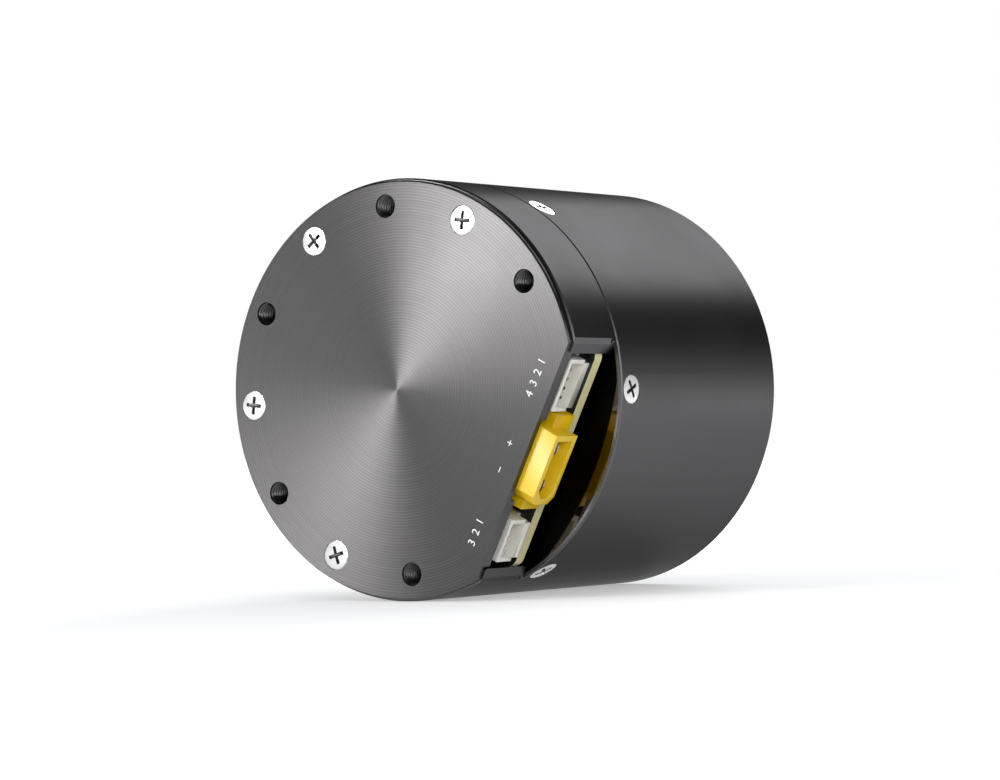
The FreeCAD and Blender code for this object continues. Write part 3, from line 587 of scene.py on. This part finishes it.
def screw_surface(settings, head, thread, length):
    """Points (x, y, depth) of a countersunk screw with a cross recess, as rings from its middle outwards.

    The angle runs round the head in four equal arms. In every eighth it is squeezed towards the arm's
    edge, which lies at asin(half width / radius), so the recess wall falls between two columns of the grid.
    A step of 0 is the arm's middle, 1 its edge and 2 the end of the eighth, and the wall runs up to top.
    Depth is the recess depth times (1 - radius / reach) inside an arm, and the crown's curve outside it.
    Past the rim the profile follows the cone down to the thread and closes at its end.
    """
    half = settings.recess_width / 2
    reach = settings.recess_span / 2
    top = 1.015
    step = np.array([0.0, 0.45, 0.90, 0.985, top, 1.35, 2.0])
    eighth = math.pi / 4
    rings = np.array([0.02 * MM, half, half * 1.5, reach * 0.45, reach * 0.7, reach * 0.93, reach,
                      reach * 1.04, head * 0.75, head * 0.90, head * 0.965, head])
    edge = np.arcsin(np.clip(half / np.maximum(rings, half * 1.42), 0, 1))
    inner = step[None, :] * np.minimum(edge, eighth * 0.96)[:, None]
    share = (step - top) / (2.0 - top)
    outer = edge[:, None] * 1.02 + share[None, :] * (eighth - edge[:, None] * 1.02)
    one = np.where(step[None, :] > top, outer, inner)
    one[:, -1] = eighth
    quarter = np.concatenate([one, 2 * eighth - one[:, -2:0:-1]], axis=1)
    angle = np.concatenate([quarter + k * math.pi / 2 for k in range(4)], axis=1)
    local = np.abs((angle + eighth) % (2 * eighth) - eighth)
    radius = np.broadcast_to(rings[:, None], angle.shape)
    crown = -settings.crown * (1 - (radius / head) ** 2)
    sunk_and_shaded = (radius * np.sin(local) < half) & (radius * np.cos(local) < reach * 1.001)
    floor = settings.recess_depth * (1 - 0.62 * np.clip(radius / reach, 0, 1))
    depth = np.where(sunk_and_shaded, floor, crown)
    rim = 0.06 * MM
    depth = depth + np.where(radius > head * 0.98, rim * 0.4, 0.0)
    face = np.stack([radius * np.cos(angle), radius * np.sin(angle), depth], axis=-1)
    side = np.array([(head, rim), (head - 0.05 * MM, 0.13 * MM), (thread, head - thread),
                     (thread, length * 0.93), (thread * 0.8, length), (0.0, length)])
    flank = np.stack([side[:, :1] * np.cos(angle[-1]), side[:, :1] * np.sin(angle[-1]),
                      np.broadcast_to(side[:, 1:], (len(side), angle.shape[1]))], axis=-1)
    middle = np.zeros((1, angle.shape[1], 3))
    middle[..., 2] = settings.recess_depth
    # shade is 1 at the recess points, and the screws' material turns it into painted shade.
    shade = np.zeros((len(middle) + len(face) + len(flank), angle.shape[1]))
    shade[0] = 1.0
    shade[1:1 + len(face)] = np.where(sunk_and_shaded, 1.0, 0.0)
    return np.concatenate([middle, face, flank], axis=0), shade


def screws_piece(name, node, places, length, settings):
    """One piece of several screws. A place is (head's middle, direction of the thread, turn in degrees)."""
    surface, shade = screw_surface(settings, SCREW_HEAD, SCREW_THREAD, length)
    rows, columns = surface.shape[:2]
    points, quads = [], []
    for index, (origin, inward, degrees) in enumerate(places):
        inward = np.asarray(inward, dtype=float)
        seed = np.array((0.0, 0.0, 1.0)) if abs(inward[2]) < 0.9 else np.array((1.0, 0.0, 0.0))
        first = np.cross(seed, inward)
        first /= np.linalg.norm(first)
        second = np.cross(inward, first)
        turn = math.radians(degrees)
        points.append(placed(surface, origin, first * math.cos(turn) + second * math.sin(turn), inward))
        quads.append(grid_faces(rows, columns, True) + index * rows * columns)
    piece = mesh_of(name, np.concatenate([p.reshape(-1, 3) for p in points]), np.concatenate(quads),
                    "housing", FINISHES["bright_steel"], np.tile(shade, (len(places), 1)))
    smooth(piece.data, 32)
    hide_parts(node)


def round_axis(radius, degrees, depth):
    """Point at a radius and an angle from the flat's middle, which turns from OUT towards ALONG."""
    turn = math.radians(degrees)
    return radius * (math.cos(turn) * OUT + math.sin(turn) * ALONG) - depth * REAR


class ACTUATOR_OT_screws(Operator):
    """Makes the countersunk screws of the cover plate, the seam and the front cover"""
    bl_idname = "actuator.screws"
    bl_label = "Screws"

    def execute(self, context):
        settings = context.scene.actuator_screws
        circle = MOUNTS["front_pattern"]["dims"]["pcd_mm"] * MM / 2
        front = MOUNTS["front_pattern"]["pos_m"][1]
        turns = (8, 52, 97, 74)
        rear = [(round_axis(circle, 90 + 60 * k, 0.0), -REAR, turn) for k, turn in enumerate(turns)]
        screws_piece("cover_screws", "end_plate_screws", rear, COVER_SCREW, settings)
        low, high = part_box("sleeve_screws")
        middle = (low[1] + high[1]) / 2
        radius = math.sqrt(CASE_RADIUS ** 2 - SCREW_HEAD ** 2)
        seam = []
        for k, turn in enumerate((63, 5, 30, 80, 15, 40)):
            place = round_axis(radius, SEAM_SCREW_TURN + 60 * k, middle)
            inward = -(place - (place @ -REAR) * -REAR)
            seam.append((place, inward / np.linalg.norm(inward), turn))
        screws_piece("seam_screws", "sleeve_screws", seam, SEAM_SCREW, settings)
        ends = [(round_axis(circle, 30 + 60 * k, front), REAR, 20 + 37 * k) for k in range(6)]
        screws_piece("front_screws", "front_cover_screws", ends, FRONT_SCREW, settings)
        return {"FINISHED"}


# ---- Threads -----------------------------------------------------------------------------------


def thread_surface(settings, hole, length):
    """Points (x, y, depth) of the lining of a tapped hole.

    The inner radius is the hole's, less the thread's height times a rounded triangle wave of
    (depth / pitch - angle / full turn). It fades out at the mouth, and the outside of the lining lies
    a little way into the metal round the hole.
    """
    setback, clearance, wall = 0.02 * MM, 0.012 * MM, 0.05 * MM
    fade_start, fade_length = 0.12 * MM, 0.5 * MM
    count = int(round(length / settings.pitch)) * ROWS_PER_TURN
    depth = np.linspace(setback, length - setback, count)[:, None]
    angle = np.linspace(0, 2 * math.pi, THREAD_SIDES, endpoint=False)[None, :]
    phase = depth / settings.pitch - angle / (2 * math.pi)
    wave = 1 - np.abs((phase % 1.0) * 2 - 1)
    ridge = np.clip(wave * 1.35 - 0.1, 0, 1)
    fade = np.clip((depth - fade_start) / fade_length, 0, 1)
    radius = hole - clearance - settings.height * ridge * fade
    inner = np.stack([radius * np.cos(angle), radius * np.sin(angle),
                      np.broadcast_to(depth, radius.shape)], axis=-1)
    ends = np.array([(hole + wall, length - setback), (hole + wall, setback)])
    outer = np.stack([ends[:, :1] * np.cos(angle), ends[:, :1] * np.sin(angle),
                      np.broadcast_to(ends[:, 1:], (2, THREAD_SIDES))], axis=-1)
    return np.concatenate([inner, outer, inner[:1]], axis=0)


def threads_piece(name, places, inward, length, body, slot, settings):
    """One piece of the linings of several tapped holes, whose mouths are at the places."""
    surface = thread_surface(settings, TAPPED_HOLE, length)
    rows, columns = surface.shape[:2]
    points = [placed(surface, origin, OUT, inward).reshape(-1, 3) for origin in places]
    quads = [grid_faces(rows, columns, True) + index * rows * columns for index in range(len(places))]
    piece = mesh_of(name, np.concatenate(points), np.concatenate(quads), body, FINISHES[slot])
    smooth(piece.data, 50)


class ACTUATOR_OT_threads(Operator):
    """Lines the tapped holes of both ends with their threads"""
    bl_idname = "actuator.threads"
    bl_label = "Threads"

    def execute(self, context):
        settings = context.scene.actuator_threads
        circle = MOUNTS["front_pattern"]["dims"]["pcd_mm"] * MM / 2
        rear = [round_axis(circle, 60 * k, 0.0) for k in range(1, 6)]
        threads_piece("rear_threads", rear, -REAR, REAR_THREAD, "housing", "case_turned", settings)
        front = MOUNTS["front_pattern"]["pos_m"][1]
        ends = [round_axis(circle, 60 * k, front) for k in range(6)]
        threads_piece("front_threads", ends, REAR, FRONT_THREAD, "housing", "case_turned", settings)
        pattern = MOUNTS["output_pattern"]
        circle = pattern["dims"]["pcd_mm"] * MM / 2
        ends = [round_axis(circle, 30 + 60 * k, pattern["pos_m"][1]) for k in range(6)]
        threads_piece("output_threads", ends, REAR, OUTPUT_THREAD, "output", "output_metal", settings)
        return {"FINISHED"}


# ---- Connectors --------------------------------------------------------------------------------


def half_pin_surface(radius, slot, start, end, side, sides=15):
    """Points (along, across, up) of one half of a split round pin.

    The outline is the arc of the pin from the slot round to the slot again, closed by the flat in the
    slot. It is carried along the pin and drawn in over a quarter circle at the tip.
    """
    lean = math.asin(slot / 2 / radius)
    arc = np.linspace(lean, math.pi - lean, sides)
    outline = np.stack([radius * np.cos(arc), radius * np.sin(arc)], axis=-1)
    nose = radius * 0.55
    bend = np.linspace(0, math.pi / 2, 6)
    along = np.concatenate([[start, end - nose * 1.02], end - nose + nose * np.sin(bend)])
    scale = np.concatenate([[1.0, 1.0], 1 - 0.45 * (1 - np.cos(bend))])
    centre = np.array((0.0, slot / 2))
    ring = centre + (outline[None] - centre) * scale[:, None, None]
    body = np.concatenate([np.broadcast_to(along[:, None, None], ring.shape[:2] + (1,)), ring], axis=-1)
    first = np.broadcast_to(np.array((start, 0.0, radius * 0.45)), (1, sides, 3))
    last = np.broadcast_to(np.array((end, 0.0, radius * 0.35)), (1, sides, 3))
    body = np.concatenate([first, body, last], axis=0)
    body[..., 1:] = body[..., 1:] * side
    return body


class ACTUATOR_OT_connectors(Operator):
    """Softens the moulded shells and makes the split power pins"""
    bl_idname = "actuator.connectors"
    bl_label = "Connectors"

    def execute(self, context):
        settings = context.scene.actuator_contacts
        for node, finish in (("power_connector", "yellow_nylon"), ("can_header", "white_nylon"),
                             ("uart_header", "white_nylon")):
            shell = merged_copy(node, node + "_shell", settings.soften)
            shell.data.materials.clear()
            shell.data.materials.append(FINISHES[finish])
            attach(shell, "housing")
            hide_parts(node)
        self.pins(settings)
        return {"FINISHED"}

    def pins(self, settings):
        """Both power pins, each of two halves."""
        depth = np.array(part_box("power_pins")).mean(axis=0)[1]
        mouth = mount_place("power_input") @ OUT
        start, end = mouth - PIN_ROOT, mouth - PIN_TIP
        points, quads, count = [], [], 0
        for offset in (PIN_PLACE, -PIN_PLACE):
            for side in (1, -1):
                half = half_pin_surface(PIN_RADIUS, settings.slot, start, end, side)
                rows, columns = half.shape[:2]
                place = (half[..., :1] * OUT + (half[..., 1:2] + offset) * ALONG
                         + (depth - half[..., 2:3]) * np.array((0.0, 1.0, 0.0)))
                points.append(place.reshape(-1, 3))
                quads.append(grid_faces(rows, columns, True) + count)
                count += rows * columns
        piece = mesh_of("power_pin_halves", np.concatenate(points), np.concatenate(quads), "housing",
                        FINISHES["bright_steel"])
        smooth(piece.data, 40)
        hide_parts("power_pins")


# ---- Print -------------------------------------------------------------------------------------


class ACTUATOR_OT_marks(Operator):
    """Prints polarity signs and pin numbers beside the connectors"""
    bl_idname = "actuator.marks"
    bl_label = "Pin marks"

    def execute(self, context):
        settings = context.scene.actuator_marks
        across = PLATE_EDGE - settings.setback
        spots = [(text, across, along) for text, along in SIGN_PLACES.items()]
        for count, middle in ((4, mount_place("can_port") @ ALONG), (3, mount_place("uart_port") @ ALONG)):
            spots += [(str(count - k), across, middle + (k - (count - 1) / 2) * NUMERAL_PITCH)
                      for k in range(count)]
        meshes = [self.sign(text, out, along, settings.height) for text, out, along in spots]
        points = np.concatenate([m[0] for m in meshes])
        faces, start = [], 0
        for place, loops in meshes:
            faces += [[v + start for v in loop] for loop in loops]
            start += len(place)
        mesh = bpy.data.meshes.new("pin_marks")
        mesh.from_pydata(points.tolist(), [], faces)
        mesh.validate()
        piece = bpy.data.objects.new("pin_marks", mesh)
        context.scene.collection.objects.link(piece)
        merge(mesh)
        mesh.materials.append(FINISHES["print"])
        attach(piece, "housing")
        return {"FINISHED"}

    def sign(self, text, out, along, height):
        """Mesh of one printed sign: its letters run along the flat and their tops point to the axis."""
        curve = bpy.data.curves.new("sign", "FONT")
        curve.body = text
        curve.size = height * 1.35
        curve.extrude = 0.006 * MM
        curve.align_x = "CENTER"
        curve.align_y = "CENTER"
        curve.resolution_u = 4
        holder = bpy.data.objects.new("sign", curve)
        bpy.context.scene.collection.objects.link(holder)
        bpy.context.view_layer.update()
        flat = bpy.data.meshes.new_from_object(holder.evaluated_get(bpy.context.evaluated_depsgraph_get()))
        place = np.empty(len(flat.vertices) * 3)
        flat.vertices.foreach_get("co", place)
        place = place.reshape(-1, 3)
        loops = [list(face.vertices) for face in flat.polygons]
        bpy.data.objects.remove(holder)
        bpy.data.curves.remove(curve)
        bpy.data.meshes.remove(flat)
        origin = out * OUT + along * ALONG + 0.004 * MM * REAR
        return origin + place[:, :1] * ALONG - place[:, 1:2] * OUT + place[:, 2:3] * REAR, loops


# ---- Finishes on the CAD nodes -----------------------------------------------------------------


class ACTUATOR_OT_finishes(Operator):
    """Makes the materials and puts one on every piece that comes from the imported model"""
    bl_idname = "actuator.finishes"
    bl_label = "Finishes"

    def execute(self, context):
        FINISHES.update(make_finishes(context.scene.actuator_finish))
        slots = {entry["node"]: entry["material_slot"] for entry in frame["record"]["subparts"]}
        for node, shown in frame["nodes"].items():
            finish = FINISHES[slots[node]]
            shown.data.materials.clear()
            shown.data.materials.append(finish)
        return {"FINISHED"}


# ---- Stage -------------------------------------------------------------------------------------


def aimed(place, target):
    """World matrix of a lamp at a place, shining at a target."""
    place, target = Vector(place), Vector(target)
    turn = (target - place).to_track_quat("-Z", "Y").to_matrix().to_4x4()
    return Matrix.Translation(place) @ turn


def add_lamp(name, place, target, size, watts):
    """A rectangular soft lamp."""
    lamp = bpy.data.lights.new(name, "AREA")
    lamp.shape = "RECTANGLE"
    lamp.size, lamp.size_y = size
    lamp.energy = watts
    holder = bpy.data.objects.new(name, lamp)
    holder.matrix_world = aimed(place, target)
    bpy.context.scene.collection.objects.link(holder)


class ACTUATOR_OT_stage(Operator):
    """Makes the pale floor, the soft lamps, the white background and the camera"""
    bl_idname = "actuator.stage"
    bl_label = "Stage"

    def execute(self, context):
        settings = context.scene.actuator_stage
        low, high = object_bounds()
        self.floor(settings, low[2])
        self.world(context.scene)
        self.lamps(settings, (0.0, (low[1] + high[1]) / 2, 0.0))
        self.camera(context.scene)
        return {"FINISHED"}

    def floor(self, settings, height):
        """A plane that shows the object's shadow and glows to white away from it."""
        half = settings.floor_size / 2
        mesh = bpy.data.meshes.new("floor")
        mesh.from_pydata([(-half, -half, height), (half, -half, height), (half, half, height),
                          (-half, half, height)], [], [(0, 1, 2, 3)])
        floor = bpy.data.objects.new("floor", mesh)
        bpy.context.scene.collection.objects.link(floor)
        material = bpy.data.materials.new("pale floor")
        material.use_nodes = True
        tree = Tree(material.node_tree)
        paper = tree.add("ShaderNodeBsdfDiffuse")
        paper.inputs["Color"].default_value = (0.86, 0.86, 0.86, 1.0)
        where = tree.add("ShaderNodeTexCoord")
        reach = tree.add("ShaderNodeVectorMath", operation="LENGTH")
        tree.link(where.outputs["Object"], reach.inputs[0])
        path = tree.add("ShaderNodeLightPath")
        mirrored = tree.math("MAXIMUM", path.outputs["Is Glossy Ray"], path.outputs["Is Transmission Ray"])
        grey_until, white_from, mirror_gain = 0.07, 0.26, 0.2
        near = tree.math("ADD", settings.floor_glow, tree.math("MULTIPLY", mirrored, mirror_gain))
        far = tree.span(reach.outputs["Value"], grey_until, white_from, 0.0, 1.0)
        glow = tree.add("ShaderNodeEmission")
        tree.link(tree.math("MAXIMUM", near, far), glow.inputs["Strength"])
        total = tree.add("ShaderNodeAddShader")
        tree.link(paper.outputs[0], total.inputs[0])
        tree.link(glow.outputs[0], total.inputs[1])
        seen = tree.math("MAXIMUM", path.outputs["Is Camera Ray"], mirrored)
        choice = tree.add("ShaderNodeMixShader")
        tree.link(seen, choice.inputs[0])
        tree.link(paper.outputs[0], choice.inputs[1])
        tree.link(total.outputs[0], choice.inputs[2])
        surface = tree.add("ShaderNodeOutputMaterial")
        tree.link(choice.outputs[0], surface.inputs[0])
        mesh.materials.append(material)
        floor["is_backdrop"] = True

    def world(self, scene):
        """Even light, a white background, and the same white low in reflections, darker higher up."""
        world = bpy.data.worlds.new("studio")
        scene.world = world
        world.use_nodes = True
        tree = Tree(world.node_tree)
        path = tree.add("ShaderNodeLightPath")
        mirrored = tree.math("MAXIMUM", path.outputs["Is Glossy Ray"], path.outputs["Is Transmission Ray"])
        seen = tree.math("MAXIMUM", path.outputs["Is Camera Ray"], mirrored)
        soft = tree.add("ShaderNodeBackground")
        soft.inputs["Color"].default_value = (0.95, 0.97, 1.0, 1.0)
        soft.inputs["Strength"].default_value = 0.5
        low, high, horizon, zenith = -0.02, 0.20, 1.0, 0.08
        sky = tree.span(tree.axes("Generated")[2], low, high, horizon, zenith)
        backdrop = tree.add("ShaderNodeBackground")
        tree.link(tree.blend(mirrored, (1.0, 1.0, 1.0), sky), backdrop.inputs["Color"])
        choice = tree.add("ShaderNodeMixShader")
        tree.link(seen, choice.inputs[0])
        tree.link(soft.outputs[0], choice.inputs[1])
        tree.link(backdrop.outputs[0], choice.inputs[2])
        out = tree.add("ShaderNodeOutputWorld")
        tree.link(choice.outputs[0], out.inputs[0])

    def lamps(self, settings, centre):
        """Small bright lamps over the rear cover, and wide soft ones beside and behind."""
        for name, place, size, watts in (
                ("key", (-0.274, -0.489, 0.147), (0.12, 0.12), 1.15 * settings.key),
                ("key low", (-0.227, -0.525, 0.083), (0.10, 0.10), 0.52 * settings.key),
                ("key side", (-0.127, -0.562, 0.034), (0.08, 0.08), 0.14 * settings.key),
                ("left", (-0.453, -0.355, 0.104), (0.10, 0.10), 0.06 * settings.key),
                ("right", (0.450, -0.400, 0.110), (0.20, 0.20), 0.80 * settings.fill),
                ("top", (-0.084, 0.510, 0.342), (0.26, 0.20), 0.88 * settings.fill),
                ("top right", (0.121, 0.516, 0.322), (0.16, 0.16), 0.36 * settings.fill)):
            add_lamp(name, place, centre, size, watts)

    def camera(self, scene):
        """The camera, from the directions of its own right, up and forward."""
        lens = bpy.data.cameras.new("camera")
        lens.sensor_width = 36.0
        lens.lens = 123.48
        lens.clip_start = 0.01
        lens.clip_end = 50.0
        holder = bpy.data.objects.new("camera", lens)
        right = (0.824805, 0.564840, -0.025544)
        up = (0.030177, 0.001138, 0.999544)
        forward = (-0.564612, 0.825200, 0.016106)
        place = (0.252571, -0.346666, -0.007258)
        holder.matrix_world = Matrix([(right[k], up[k], -forward[k], place[k]) for k in range(3)]
                                     + [(0, 0, 0, 1)])
        scene.collection.objects.link(holder)
        scene.camera = holder


# ---- Panel and registration --------------------------------------------------------------------

STEPS = (ACTUATOR_OT_finishes, ACTUATOR_OT_screws, ACTUATOR_OT_threads, ACTUATOR_OT_connectors,
         ACTUATOR_OT_marks, ACTUATOR_OT_stage)
SETTINGS = {"actuator_finish": FinishSettings, "actuator_screws": ScrewSettings,
            "actuator_threads": ThreadSettings, "actuator_contacts": ContactSettings,
            "actuator_marks": MarkSettings, "actuator_stage": StageSettings}


class ACTUATOR_PT_panel(Panel):
    bl_label = "Joint actuator"
    bl_idname = "ACTUATOR_PT_panel"
    bl_space_type = "VIEW_3D"
    bl_region_type = "UI"
    bl_category = "Actuator"

    def draw(self, context):
        for name, settings in SETTINGS.items():
            box = self.layout.box()
            for key in settings.__annotations__:
                box.prop(getattr(context.scene, name), key)
        for step in STEPS:
            self.layout.operator(step.bl_idname)


def register():
    """Adds the settings, the steps and the panel to Blender."""
    for settings in SETTINGS.values():
        bpy.utils.register_class(settings)
    for name, settings in SETTINGS.items():
        setattr(bpy.types.Scene, name, PointerProperty(type=settings))
    for step in (*STEPS, ACTUATOR_PT_panel):
        bpy.utils.register_class(step)


def unregister():
    """Takes them away again."""
    for step in (ACTUATOR_PT_panel, *STEPS):
        bpy.utils.unregister_class(step)
    for name, settings in SETTINGS.items():
        delattr(bpy.types.Scene, name)
        bpy.utils.unregister_class(settings)


def main():
    """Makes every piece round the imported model."""
    register()
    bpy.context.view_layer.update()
    bpy.context.scene.view_settings.view_transform = "Standard"
    for step in STEPS:
        family, name = step.bl_idname.split(".")
        getattr(getattr(bpy.ops, family), name)()


if __name__ == "__main__":
    main()
